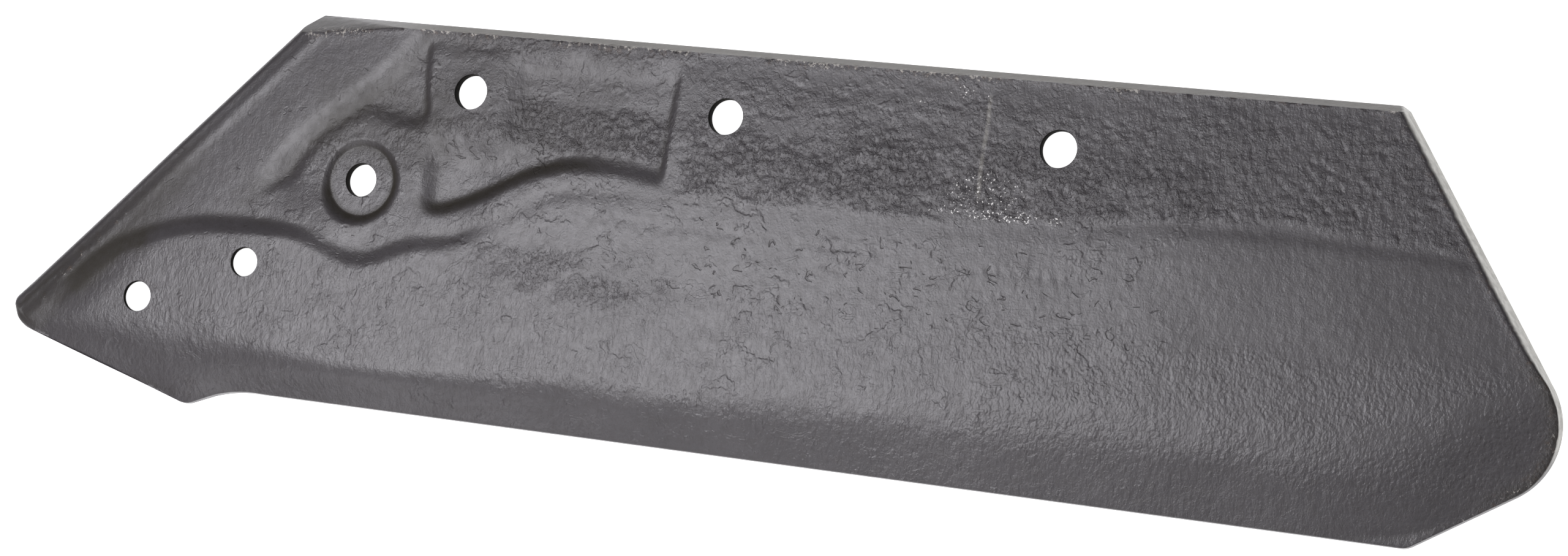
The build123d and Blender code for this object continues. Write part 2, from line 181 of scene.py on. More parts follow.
def height(u, v):
    """thickness of the share at u, v"""
    u = np.asarray(u, float)
    v = np.asarray(v, float)
    edge = LAND_N[0] * u + LAND_N[1] * v
    # band, valley and the ground round the nut seat
    crest, w = side(u, v, CREST)
    crown = np.minimum(-soft_min(edge - 27.0, np.zeros(u.shape), 8.0), 23.0)
    z = T_BAND - 0.034 * crown
    z = z - 1.55 * smooth((crest - 1.0) / w) * smooth((u + 8.0) / 11.0) * smooth((-v - 2.0) / 6.0)
    z = z - 0.45 * np.exp(-(((u - 37.0) / 10.0) ** 2 + ((v + 29.5) / 4.8) ** 2))
    z = z - 0.45 * np.exp(-(((u + 1.5) / 4.5) ** 2 + ((v + 57.5) / 6.5) ** 2))
    bank, w = side(u, v, BANK)
    rise = 0.85 + 0.85 * smooth((-v - 66.0) / 11.0) * smooth((26.0 - u) / 12.0)
    rise = rise + 0.55 * smooth((u - 24.0 + (-v - 59.0)) / 22.0)
    z = z + rise * smooth(bank / w) * smooth((u + 8.0) / 11.0) * smooth((-v - 6.0) / 8.0)
    # plain joint zone behind the bolt edge
    faint = smooth((u - 122.0) / 14.0) * smooth((316.0 - u) / 20.0)
    joint = T_JOINT + JOINT_SLOPE * soft_min(np.clip(-v, -2.0, 60.0), 62.0 - 24.0 * faint, 14.0)
    k = smooth((u - 75.0) / 14.0)
    z = z * (1.0 - k) + joint * k
    # pocket under the first two bolts
    wall, w = side(u, v, POCKET)
    shoulder = smooth((u - 54.3 - 0.06 * (-v - 50.0)) / 6.0)
    plateau = smooth((u - 83.5) / 7.5)
    low = smooth((-v - 43.0) / 8.0)
    left = shoulder * (low + (1.0 - low) * plateau)
    right = smooth((145.0 + 0.045 * (v + 20.0) - u) / 1.9)
    top = smooth((-v - 10.6) / 6.0)
    depth = (POCKET_DEPTH + 0.029 * np.clip(-v - 12.0, 0.0, 50.0)) * (1.0 - 0.42 * smooth((u - 112.0) / 16.0))
    depth = depth * (1.0 - 0.26 * smooth((70.0 - u) / 11.0) * smooth((-v - 36.0) / 8.0))
    z = z - depth * smooth(wall / w) * left * right * top
    # rib between the pocket and the step
    z = z + 0.22 * smooth((-wall - 1.5) / 3.5) * smooth((u - 52.0) / 8.0) * smooth((150.0 - u) / 30.0)
    # step up to the working zone, with a trench beside it near the nose
    s, w = side(u, v, STEP)
    s = -s
    work = T_WORK + NOSE_GAIN * smooth((28.0 - u) / 88.0) - WORK_SLOPE * np.clip(-v - 57.0, 0.0, 70.0)
    work = work - 0.34 * smooth((u - 140.0) / 34.0) - 0.44 * smooth((u - 130.0) / 30.0) * smooth((302.0 - u) / 40.0)
    z = z - 0.20 * (1.0 - faint) * smooth((u - 50.0) / 10.0) * smooth((300.0 - u) / 30.0) * smooth((s + 5.0) / 2.8)
    work = work - 0.9 * smooth((20.0 - edge) / 8.0) * smooth((-u - 42.0) / 12.0)
    z = z - 0.40 * np.exp(-(((u + 66.0) / 10.5) ** 2 + ((v + 90.5) / 7.0) ** 2)) * smooth((edge - 8.5) / 3.0)
    z = z + 1.5 * smooth((-u - 88.0) / 11.0) * smooth((edge - 6.0) / 5.0)
    z = z - LAND_TILT * np.clip(11.0 - edge, 0.0, 8.0) * smooth((-u - 58.0) / 22.0)
    z = z + (work - z) * smooth(s / w)
    # cutting bevel, carried round the heel
    cut = v + 139.15 + 0.0064 * u
    heel = (416.2 - u) * 0.5216 + (v + 141.85) * 0.8532
    slope = BEVEL + 0.25 * smooth((62.0 - u) / 70.0) - 0.15 * smooth((u - 172.0) / 110.0)
    hook = np.exp(-(((u + 34.0) / 15.0) ** 2))
    cut = cut + 3.2 * hook
    slope = slope - 0.125 * hook
    run = soft_min(cut, heel, 18.0)
    bevel = EDGE_T + slope * run + 0.16 * np.clip(-run, 0.0, 8.0)
    bevel = -soft_min(-bevel, np.full(u.shape, -1.3), 0.8)
    z = soft_min(z, bevel, 2.0 + 4.5 * smooth((6.0 - u) / 44.0))
    # low ridge beside the rounded landside edge
    z = z + 0.28 * np.exp(-(((edge - 6.2) / 2.2) ** 2))
    return z


# ---------------------------------------------------------------- scale and forging texture
def lattice(seed):
    rng = np.random.default_rng(seed)
    a = rng.random((256, 256)) * 2.0 * math.pi
    return np.cos(a), np.sin(a)


LATTICES = {}


def grain(x, y, seed):
    """gradient noise, about -1 to 1"""
    if seed not in LATTICES:
        LATTICES[seed] = lattice(seed)
    gx, gy = LATTICES[seed]
    xi, yi = np.floor(x).astype(int), np.floor(y).astype(int)
    fx, fy = x - xi, y - yi
    wx = fx * fx * fx * (fx * (6 * fx - 15) + 10)
    wy = fy * fy * fy * (fy * (6 * fy - 15) + 10)
    out = 0.0
    for i in (0, 1):
        for j in (0, 1):
            a, b = (xi + i) & 255, (yi + j) & 255
            dot = gx[a, b] * (fx - i) + gy[a, b] * (fy - j)
            out = out + dot * (wx if i else 1 - wx) * (wy if j else 1 - wy)
    return out * 1.5


def fractal(x, y, seed, octaves=3, gain=0.5):
    out, amp = 0.0, 1.0
    for k in range(octaves):
        out = out + amp * grain(x * 2**k + 17.3 * k, y * 2**k - 9.1 * k, seed + k)
        amp *= gain
    return out


def window(x, lo, hi, soft):
    return smooth((x - lo) / soft) * smooth((hi - x) / soft)


def zones(u, v):
    """how strongly each kind of surface shows at u, v"""
    s, _ = side(u, v, STEP)
    s = -s
    wall, _ = side(u, v, POCKET)
    land = LAND_N[0] * u + LAND_N[1] * v
    crest, _ = side(u, v, CREST)
    wob = 6.0 * fractal(u / 31.0, v / 19.0, 40)
    patch = smooth((fractal(u / 17.0, v / 11.0, 45, 2) + 0.28) / 0.45)
    above = smooth((-s - 4.4 + 0.25 * wob) / 3.2)
    rough = above * window(u, 150, 345, 12) * smooth((-v - 9.0 + 0.3 * wob) / 6.0) * (0.42 + 0.58 * patch) * (0.45 + 0.55 * smooth((-v - 27.0 + 0.5 * wob) / 9.0))
    rough = np.maximum(rough, above * window(u, 330, 470, 14) * smooth((-v - 8.0) / 5.0) * (0.22 + 0.40 * patch))
    rough = np.maximum(rough, above * window(u, 84, 146, 4) * window(v + wob * 0.35, -41, -24, 3.0) * (0.75 + 0.25 * patch))
    rough = np.maximum(rough, above * window(u, 54, 90, 6) * window(v + wob * 0.5, -40, -30, 3.0) * 0.55 * patch)
    rough = np.maximum(rough, 0.34 * smooth((crest - 4.0) / 4.0) * window(u, -4, 54, 6) * window(v, -60, -16, 6) * (0.4 + 0.6 * patch))
    rough = np.maximum(rough, 0.40 * window(u, 50, 150, 6) * window(v, -12, 2, 3) * patch)
    below = smooth((s - 2.0) / 2.0)
    rough = np.maximum(rough, 0.58 * below * window(u + wob, 74, 152, 16) * window(v + 0.4 * wob, -94, -76, 6) * (0.35 + 0.65 * patch))
    rough = np.maximum(rough, 0.14 * below * window(u + wob, 180, 300, 14) * window(v + 0.4 * wob, -84, -60, 5) * patch)
    rough = np.maximum(rough, 0.20 * above * window(u, 52, 475, 5) * (0.3 + 0.7 * patch))
    rough = np.maximum(rough, 0.09 * below * patch)
    vein = below * window(u, -72, 470, 28) * window(v + wob, -127, -86, 9) * (0.74 + 0.26 * patch)
    vein = np.maximum(vein, 0.85 * above * smooth((u - 300.0) / 25.0))
    vein = np.maximum(vein, 0.35 * above * window(u, 84, 146, 4) * window(v, -22, -4, 3))
    peel = below * smooth((u + wob - 262.0) / 16.0) * window(v + wob * 0.6, -127, -84, 8)
    peel = peel * (0.55 + 0.45 * patch)
    bevel = smooth((-v - 121.0 + 0.012 * u) / 3.5)
    marks = 0.12 * window(u, -70, 335, 20) * smooth((v + 116.0) / 6.0)
    marks = np.maximum(marks, 0.46 * below * window(u, 150, 330, 14) * window(v + wob, -88, -60, 7))
    marks = np.maximum(marks, 0.85 * window(u, 60, 100, 8) * window(v, -50, -38, 3))
    return {"rough": rough, "vein": vein * (1 - 0.6 * peel), "peel": peel, "bevel": bevel, "marks": marks}


DENTS = [(120.0 + 4.4 * k + 1.3 * math.sin(7.1 * k), -63.2 - 0.022 * (4.4 * k) + 0.5 * math.sin(4.3 * k)) for k in range(25)]
DENTS += [(262.0 + 4.8 * k, -67.8 - 0.3 * math.sin(3.0 * k)) for k in range(9)]


def texture(u, v, z):
    """small relief left by forging scale, in millimetres"""
    warp_u = u + 1.2 * fractal(u / 7.0, v / 7.0, 3)
    warp_v = v + 1.2 * fractal(u / 7.0, v / 7.0, 7)
    broad = 0.12 * fractal(u / 45.0, v / 30.0, 11, 2) + 0.022 * fractal(u / 13.0, v / 9.0, 15, 2)
    flakes = fractal(warp_u / 3.6, warp_v / 2.9, 21, 3, 0.62)
    pits = -smooth((-flakes - 0.34) / 0.16) * 0.16 - np.clip(-flakes - 0.25, 0.0, 1.0) * 0.22 + 0.07 * flakes
    ledge = fractal(warp_u / 11.0, warp_v / 6.0, 25, 3, 0.6)
    pits = pits + 0.10 * smooth((ledge - 0.05) / 0.05)
    veins = 0.030 * fractal(warp_u / 1.9, warp_v / 7.5, 31, 2, 0.6)
    peel = 0.045 * fractal(warp_u / 2.6, warp_v / 3.4, 51, 2, 0.5)
    fine = 0.014 * fractal(u / 2.3, v / 2.3, 61, 2, 0.6)
    d = broad + fine + z["rough"] * pits + z["vein"] * veins + z["peel"] * peel
    d = d + 0.030 * z["bevel"] * fractal(warp_u / 2.3, warp_v / 5.5, 71, 2)
    for a, b in DENTS:
        near = (np.abs(u - a) < 4) & (np.abs(v - b) < 4)
        if near.any():
            r = np.hypot(u[near] - a, v[near] - b)
            d[near] -= 0.11 * np.exp(-((r - 0.9) / 0.55) ** 2)
    return d


# ---------------------------------------------------------------- outline
def vec(p):
    return np.array(p, float)


def arc_points(p0, pm, p1):
    """centre, radius, start angle and sweep of the arc through three points"""
    ax, ay = p0; bx, by = pm; cx, cy = p1
    d = 2 * (ax * (by - cy) + bx * (cy - ay) + cx * (ay - by))
    ox = ((ax**2 + ay**2) * (by - cy) + (bx**2 + by**2) * (cy - ay) + (cx**2 + cy**2) * (ay - by)) / d
    oy = ((ax**2 + ay**2) * (cx - bx) + (bx**2 + by**2) * (ax - cx) + (cx**2 + cy**2) * (bx - ax)) / d
    r = math.hypot(ax - ox, ay - oy)
    a0, am, a1 = (math.atan2(p[1] - oy, p[0] - ox) for p in (p0, pm, p1))
    turn = (a1 - a0) % (2 * math.pi)
    if (am - a0) % (2 * math.pi) > turn:
        turn -= 2 * math.pi
    return (ox, oy), r, a0, turn


def corner_arc(before, corner, after, r):
    c = vec(corner)
    a = vec(before) - c
    b = vec(after) - c
    a, b = a / np.linalg.norm(a), b / np.linalg.norm(b)
    half = math.acos(max(-1.0, min(1.0, float(a @ b)))) / 2
    t = r / math.tan(half)
    mid = (a + b) / np.linalg.norm(a + b)
    return c + a * t, c + mid * (r / math.sin(half) - r), c + b * t


W0, WM, W1 = corner_arc(WING_CLIP, WING_CORNER, HEEL, WING_R)
H0, HM, H1 = corner_arc(W1, HEEL, CUT_START, HEEL_R)
# every edge: kind of rim, then its two ends, or its arc's three points
EDGES = [
    ("joint", TOP_CORNER, WING_TOP),
    ("wing", WING_TOP, WING_CLIP),
    ("wing", WING_CLIP, W0),
    ("wing", W0, WM, W1),
    ("wing", W1, H0),
    ("cut", H0, HM, H1),
    ("cut", H1, CUT_START),
    ("cut", CUT_START, (-13.9, -139.6), (-23.0, -141.7)),
    ("cut", (-23.0, -141.7), HOOK_TOP),
    ("cut", HOOK_TOP, (-34.4, -145.7), HOOK_LOW),
    ("cut", HOOK_LOW, NOSE_LOW),
    ("tip", NOSE_LOW, (-106.94, -122.46), NOSE_TIP),
    ("tip", NOSE_TIP, (-109.92, -115.5), NOSE_HIGH),
    ("land", NOSE_HIGH, TOP_CORNER),
]
PLANE_A, PLANE_B, PLANE_C = (-2.0, -7.9, 9.3), (36.0, -2.5, 9.3), (8.0, 0.9, 2.6)
_n = np.cross(vec(PLANE_B) - vec(PLANE_A), vec(PLANE_C) - vec(PLANE_A))


WING_DIR = (vec(WING_CORNER) - vec(WING_CLIP)) / np.linalg.norm(vec(WING_CORNER) - vec(WING_CLIP))
WING_RUN = float((W0 - vec(WING_CLIP)) @ WING_DIR)


def rounded(z, rim, r):
    """inset of a rounding of radius r at the rim"""
    q = np.clip(z - (rim - r), 0.0, r)
    return r - np.sqrt(np.clip(r * r - q * q, 0.0, None))


def rim_inset(kind, p, z, rim):
    """how far in from the flat face's outline the rim lies at height z"""
    base = z * math.tan(math.radians(DRAFT))
    if kind == "wing":
        along = (p - vec(WING_CLIP)) @ WING_DIR
        off = (p - vec(WING_CLIP)) @ np.array([WING_DIR[1], -WING_DIR[0]])
        w = np.clip((WING_RUN - along) / 14.0, 0.0, 1.0) * (np.abs(off) < 2.5)
        steep = np.maximum(base, (z - 1.0) * math.tan(math.radians(WING_DRAFT)))
        return base * (1 - w) + steep * w + rounded(z, rim, 0.3 + 0.9 * w)
    if kind == "joint":
        bevel = 3.3 * (z - 1.2) / 8.1
        v = PLANE_A[1] + (-_n[0] * (p[..., 0] - PLANE_A[0]) - _n[2] * (z - PLANE_A[2])) / _n[1]
        return np.maximum(np.maximum(base * 0.0, bevel), 0.9 - v)
    if kind == "land" or kind == "tip":
        return 0.45 + base * 0.15 + rounded(z, rim, LAND_R if kind == "land" else 2.2)
    return base + rounded(z, rim, 0.3)


ROWS = (1.0, 0.985, 0.955, 0.91, 0.85, 0.77, 0.66, 0.5, 0.33, 0.15, 0.0)


def edge_points(edge, step):
    """points along an edge and its inward normals"""
    if len(edge) == 3:
        a, b = vec(edge[1]), vec(edge[2])
        n = max(2, int(round(np.linalg.norm(b - a) / step)))
        t = np.linspace(0, 1, n + 1)[:, None]
        d = (b - a) / np.linalg.norm(b - a)
        return a + t * (b - a), np.repeat(np.array([[d[1], -d[0]]]), n + 1, 0)
    (ox, oy), r, a0, turn = arc_points(tuple(edge[1]), tuple(edge[2]), tuple(edge[3]))
    n = max(3, int(round(abs(turn) * r / step)))
    a = a0 + np.linspace(0, 1, n + 1) * turn
    p = np.stack([ox + r * np.cos(a), oy + r * np.sin(a)], 1)
    s = -1.0 if turn < 0 else 1.0
    return p, np.stack([np.cos(a), np.sin(a)], 1) * s


def rim_height(p):
    z = height(p[..., 0], p[..., 1])
    return z


def build_rim(step):
    """rows of points from the back's rim (row 0) down to the flat face (last row)"""
    runs = []
    for e in EDGES:
        p, n = edge_points(e, step)
        runs.append([e[0], p, n])
    # height of the rim: the relief's height where the rim meets it
    for run in runs:
        kind, p, n = run
        rim = np.full(len(p), 9.0)
        for _ in range(4):
            q = p + n * rim_inset(kind, p, rim, rim)[:, None]
            rim = rim_height(q)
        run.append(rim)
    count = len(runs)
    for i in range(count):                      # shared rim height where two edges meet
        a, b = runs[i], runs[(i + 1) % count]
        z = min(a[3][-1], b[3][0])
        for arr, sign in ((a[3], -1), (b[3], 1)):
            m = len(arr)
            d = np.arange(m) * step
            w = np.clip(1 - d / 6.0, 0, 1)
            if sign < 0:
                arr += (z - arr[-1]) * w[::-1]
            else:
                arr += (z - arr[0]) * w
    rows = []
    for f in ROWS:
        pieces = []
        insets = [rim_inset(k, p, rim * f, rim) for k, p, n, rim in runs]
        corners = []
        for i in range(count):
            j = (i + 1) % count
            n_in, n_out = runs[i][2][-1], runs[j][2][0]
            a, b = insets[i][-1], insets[j][0]
            cross = n_in[0] * n_out[1] - n_in[1] * n_out[0]
            if abs(cross) < 0.12:
                n = (n_in + n_out) / np.linalg.norm(n_in + n_out)
                corners.append((n * (a + b) / 2, True))
            else:
                x = np.linalg.solve(np.array([n_in, n_out]), np.array([a, b]))
                corners.append((x, False))
        # the short clipped edge runs out below the rim, where its two neighbours meet
        n0, n2 = runs[0][2][-1], runs[2][2][0]
        d0, d1, d2 = (np.array([-r[2][k][1], r[2][k][0]]) for r, k in ((runs[0], -1), (runs[1], 0), (runs[2], 0)))
        left, right_ = vec(WING_TOP) + corners[0][0], vec(WING_CLIP) + corners[1][0]
        if (right_ - left) @ d1 < 0.25:
            x = np.linalg.solve(np.array([n0, n2]), np.array([insets[0][-1] + n0 @ vec(WING_TOP), insets[2][0] + n2 @ vec(WING_CLIP)]))
            corners[0] = (x - d0 * 0.12 - vec(WING_TOP), False)
            corners[1] = (x + d2 * 0.12 - vec(WING_CLIP), False)
        for i, (k, p, n, rim) in enumerate(runs):
            c0, tangent0 = corners[i - 1]
            c1, tangent1 = corners[i]
            off = n * insets[i][:, None]
            m = len(p)
            lam = np.linspace(0, 1, m)
            d = np.concatenate([[0], np.cumsum(np.linalg.norm(np.diff(p, axis=0), axis=1))])
            reach = min(8.0, d[-1])
            w0 = np.clip(1 - d / reach, 0, 1) if tangent0 else 1 - lam
            w1 = np.clip(1 - (d[-1] - d) / reach, 0, 1) if tangent1 else lam
            q = p + off + w0[:, None] * (c0 - off[0]) + w1[:, None] * (c1 - off[-1])
            pieces.append(np.column_stack([q, rim * f])[:-1])
        rows.append(np.concatenate(pieces))
    kinds = np.concatenate([[r[0]] * (len(r[1]) - 1) for r in runs])
    return rows, kinds


def inside_polygon(x, y, poly):
    hit = np.zeros(x.shape, bool)
    px, py = poly[:, 0], poly[:, 1]
    qx, qy = np.roll(px, -1), np.roll(py, -1)
    for a, b, c, d in zip(px, py, qx, qy):
        if b == d:
            continue
        m = (y < b) != (y < d)
        hit ^= m & (x < (c - a) * (y - b) / (d - b) + a)
    return hit


def nearest(loops):
    """search tree over the points of the loops"""
    pts = np.concatenate(loops)
    tree = KDTree(len(pts))
    for i, p in enumerate(pts):
        tree.insert((p[0], p[1], 0.0), i)
    tree.balance()
    return tree


def gap(x, y, loops):
    """distance to the nearest point of the loops"""
    tree = nearest(loops)
    return np.array([tree.find((a, b, 0.0))[2] for a, b in zip(x.tolist(), y.tolist())])


def triangulate(outer, holes, inner):
    """triangles of the region inside outer, outside holes, with the inner points"""
    pts, edges = [], []
    for loop in [outer] + holes:
        base = len(pts)
        pts += [tuple(p) for p in loop]
        edges += [(base + i, base + (i + 1) % len(loop)) for i in range(len(loop))]
    n_fixed = len(pts)
    pts += [tuple(p) for p in inner]
    out = delaunay_2d_cdt([Vector(p) for p in pts], edges, [], 0, 1e-7)
    verts = np.array([tuple(v) for v in out[0]])
    tris = np.array([t for t in out[2] if len(t) == 3])
    if len(verts) != len(pts):
        extra = [tuple(round(float(c), 3) for c in verts[i]) for i, o in enumerate(out[3]) if len(o) != 1]
        raise RuntimeError("the outline crosses itself: %d points became %d, at %s" % (len(pts), len(verts), extra[:5]))
    c = verts[tris].mean(axis=1)
    keep = inside_polygon(c[:, 0], c[:, 1], np.array(outer))
    for h in holes:
        keep &= ~inside_polygon(c[:, 0], c[:, 1], np.array(h))
    tris = tris[keep]
    e1 = verts[tris[:, 1]] - verts[tris[:, 0]]
    e2 = verts[tris[:, 2]] - verts[tris[:, 0]]
    flip = (e1[:, 0] * e2[:, 1] - e1[:, 1] * e2[:, 0]) < 0
    tris[flip] = tris[flip][:, ::-1]
    return verts, tris, n_fixed


def hex_points(lo, hi, step):
    us = np.arange(lo[0], hi[0], step)
    vs = np.arange(lo[1], hi[1], step * 0.866)
    uu, vv = np.meshgrid(us, vs)
    uu = uu + (np.arange(len(vs)) % 2)[:, None] * step / 2
    return uu.ravel(), vv.ravel()


def thickness(u, v):
    """relief with the nut seat sunk in it"""
    z = height(u, v)
    r = np.hypot(u - DISH[0], v - DISH[1])
    cone = DISH_Z + DISH_RISE * np.clip(r - DISH_R, 0.0, None)
    near = r < 24.0
    return np.where(near, soft_min(z, cone, 0.45), z)


# ---------------------------------------------------------------- the share's mesh
RIM_STEP = 1.0
FINE_STEP, OPEN_STEP = 0.80, 1.15
rows, kinds = build_rim(RIM_STEP)
CHIPPED = ((-3, 22), (43, 56), (60, 75), (95, 150), (175, 215), (225, 262), (300, 312), (392, 400))


def chipped(u):
    """stretches of the bolt edge where scale has flaked off"""
    return sum(window(u, a, b, 3.0) for a, b in CHIPPED)




def nick(rows, kinds):
    """small chips and trimmed flash along the rim of the back"""
    p = rows[0]
    n = len(p)
    ds = np.linalg.norm(np.roll(p[:, :2], -1, 0) - p[:, :2], axis=1)
    s = np.concatenate([[0], np.cumsum(ds)[:-1]])
    nxt, prv = np.roll(p[:, :2], -1, 0), np.roll(p[:, :2], 1, 0)
    t = nxt - prv
    t /= np.linalg.norm(t, axis=1)[:, None]
    inward = np.column_stack([t[:, 1], -t[:, 0]])
    amount = np.select([kinds == "joint", kinds == "wing"], [0.42, 0.36], 0.0)
    amount = amount * (0.35 + 0.65 * np.maximum(chipped(p[:, 0]), kinds != "joint"))
    a = fractal(s / 3.1, s * 0 + 3.7, 81, 3, 0.7)
    b = fractal(s / 1.3, s * 0 + 8.1, 91, 2, 0.7)
    bite = amount * (np.clip(a, 0, 1) * 1.3 + 0.35 * b)
    turn = np.abs(t[:, 0] * np.roll(t[:, 1], -2) - t[:, 1] * np.roll(t[:, 0], -2))
    sharp = np.zeros(n)
    for k in range(-3, 4):
        sharp = np.maximum(sharp, np.roll(turn, k + 1) * (1 - abs(k) / 4))
    short = np.minimum(ds, np.roll(ds, 1)) < 0.6
    bite = bite * np.clip(1 - 3 * sharp, 0, 1) * ~short
    for k, w in ((0, 1.0), (1, 0.9), (2, 0.7), (3, 0.45), (4, 0.2)):
        rows[k] = rows[k].copy()
        rows[k][:, :2] += inward * np.clip(bite * w, -0.02, 1.0)[:, None]


nick(rows, kinds)
n_rim = len(rows[0])
rows[0][:, 2] = rim_height(rows[0])

RING = 72
angles = np.arange(RING) * 2 * math.pi / RING
hole_loops, hole_info = [], []
for name, (x, y, r, land, head) in HOLES.items():
    top = DISH_Z if name == "frog" else float(height(np.array([x]), np.array([y]))[0])
    hole_info.append((x, y, r, top - land, head))
    hole_loops.append(np.column_stack([x + (r + 0.25) * np.cos(angles), y + (r + 0.25) * np.sin(angles)]))

# extra rings where the nut seat's floor meets its wall
seat_rings = []
for rr in (DISH_R - 0.35, DISH_R + 0.05, DISH_R + 0.45):
    a = np.arange(96) * 2 * math.pi / 96
    seat_rings.append(np.column_stack([DISH[0] + rr * np.cos(a), DISH[1] + rr * np.sin(a)]))

fine_u, fine_v = hex_points((-112.0, -147.0), (464.0, 3.0), FINE_STEP)
open_u, open_v = hex_points((-112.0, -147.0), (464.0, 3.0), OPEN_STEP)


def busy(u, v):
    """where the scale is rough enough to need a finer mesh"""
    return zones(u, v)["rough"] > 0.22


pick = busy(fine_u, fine_v)
gu, gv = fine_u[pick], fine_v[pick]
pick = ~busy(open_u, open_v)
gu, gv = np.concatenate([gu, open_u[pick]]), np.concatenate([gv, open_v[pick]])
ok = inside_polygon(gu, gv, rows[0][:, :2])
for loop in hole_loops:
    ok &= ~inside_polygon(gu, gv, loop)
gu, gv = gu[ok], gv[ok]
ok = (gap(gu, gv, [rows[0][:, :2]] + hole_loops) > 0.6) & (gap(gu, gv, seat_rings) > 0.42)
gu, gv = gu[ok], gv[ok]
inner = np.concatenate([np.column_stack([gu, gv])] + seat_rings)
flat_pts, back_tris, n_fixed = triangulate(rows[0][:, :2], hole_loops, inner)

verts = []          # u, v, z in mm
faces = []
count = 0


def add(points):
    global count
    verts.append(np.asarray(points, float))
    first = count
    count += len(points)
    return first


bu, bv = flat_pts[:, 0], flat_pts[:, 1]
bz = thickness(bu, bv)
first_back = add(np.column_stack([bu, bv, bz]))
faces.append(back_tris + first_back)


def strip(a, b, n, flip=False):
    """quads between two closed loops of n points, as triangles"""
    i = np.arange(n)
    j = (i + 1) % n
    t = np.concatenate([np.column_stack([a + i, b + i, b + j]), np.column_stack([a + i, b + j, a + j])])
    return t[:, ::-1] if flip else t


# rim walls: row 0 is shared with the back
prev = first_back
row_first = [prev]
for k in range(1, len(ROWS)):
    f = add(rows[k])
    faces.append(strip(prev, f, n_rim, flip=True))
    prev = f
    row_first.append(f)
flat_rim = prev

# hole walls
flat_holes = []
start = first_back + n_rim
bore_from = count
for (x, y, r, zl, head), loop in zip(hole_info, hole_loops):
    c, s = np.cos(angles), np.sin(angles)
    top = thickness(loop[:, 0], loop[:, 1])
    square = (r + NECK_OVER) / np.maximum(np.abs(c), np.abs(s))
    rings = [(r + 0.08, top - 0.08), (r, top - 0.26)]
    for t in (0.4, 0.75, 1.0):
        rings.append((r, (top - 0.26) * (1 - t) + zl * t))
    rings.append((np.maximum(square, r), zl + 0 * c))
    for t in (0.06, 0.14, 0.25, 0.4, 0.6, 0.8, 1.0):
        z = zl * (1 - t)
        cone = r + (head - r) * t
        rings.append((np.maximum(cone, square), z + 0 * c))
    prev = start
    for rho, z in rings:
        f = add(np.column_stack([x + rho * c, y + rho * s, z]))
        faces.append(strip(prev, f, RING))
        prev = f
    flat_holes.append((prev, np.column_stack([x + np.maximum(head, square) * c, y + np.maximum(head, square) * s])))
    start += RING

bore_to = count

# flat soil face
su, sv = hex_points((-112.0, -147.0), (464.0, 3.0), 4.0)
outer = rows[-1][:, :2]
ok = inside_polygon(su, sv, outer)
for _, loop in flat_holes:
    ok &= ~inside_polygon(su, sv, loop)
su, sv = su[ok], sv[ok]
ok = gap(su, sv, [outer] + [l for _, l in flat_holes]) > 2.2
su, sv = su[ok], sv[ok]
under_pts, under_tris, n_under = triangulate(outer, [l for _, l in flat_holes], np.column_stack([su, sv]))
index = np.zeros(len(under_pts), int)
index[:n_rim] = flat_rim + np.arange(n_rim)
k = n_rim
for f, _ in flat_holes:
    index[k : k + RING] = f + np.arange(RING)
    k += RING
f = add(np.column_stack([under_pts[n_under:], np.zeros(len(under_pts) - n_under)]))
index[n_under:] = f + np.arange(len(under_pts) - n_under)
faces.append(index[under_tris][:, ::-1])

co = np.concatenate(verts)
tri = np.concatenate(faces)
kind_z = zones(co[:, 0], co[:, 1])
tex = texture(co[:, 0], co[:, 1], kind_z)
body_top = thickness(co[:, 0], co[:, 1])
# the scale's relief fades out down the walls and in the holes
depth = np.clip((co[:, 2] - body_top + 2.5) / 2.5, 0.0, 1.0)
for x, y, r, zl, head in hole_info:
    rr = np.hypot(co[:, 0] - x, co[:, 1] - y)
    depth = depth * np.clip((rr - r - 0.1) / 1.2, 0.0, 1.0)
seat = np.hypot(co[:, 0] - DISH[0], co[:, 1] - DISH[1])
tex = tex * (1 - 0.75 * smooth((15.5 - seat) / 1.5))
co[:, 2] += tex * depth
low = co[:, 2] < 0.02
co[low, 2] = np.maximum(co[low, 2], 0.0)

# ---------------------------------------------------------------- surface masks
def hollows(u, v, step=1.0, reach=2):
    """how far the surface lies below its surroundings, read off a regular grid"""
    gx = np.arange(-116.0, 478.0, step)
    gy = np.arange(-152.0, 8.0, step)
    xx, yy = np.meshgrid(gx, gy)
    zz = thickness(xx, yy)
    total = np.zeros_like(zz)
    for i, j in ((reach, 0), (-reach, 0), (0, reach), (0, -reach), (1, 1), (-1, 1), (1, -1), (-1, -1)):
        total += np.roll(np.roll(zz, j, 0), i, 1)
    d = total / 8 - zz
    x = np.clip((u - gx[0]) / step, 0, len(gx) - 1.001)
    y = np.clip((v - gy[0]) / step, 0, len(gy) - 1.001)
    i, j = x.astype(int), y.astype(int)
    x, y = x - i, y - j
    return d[j, i] * (1 - x) * (1 - y) + d[j, i + 1] * x * (1 - y) + d[j + 1, i] * (1 - x) * y + d[j + 1, i + 1] * x * y


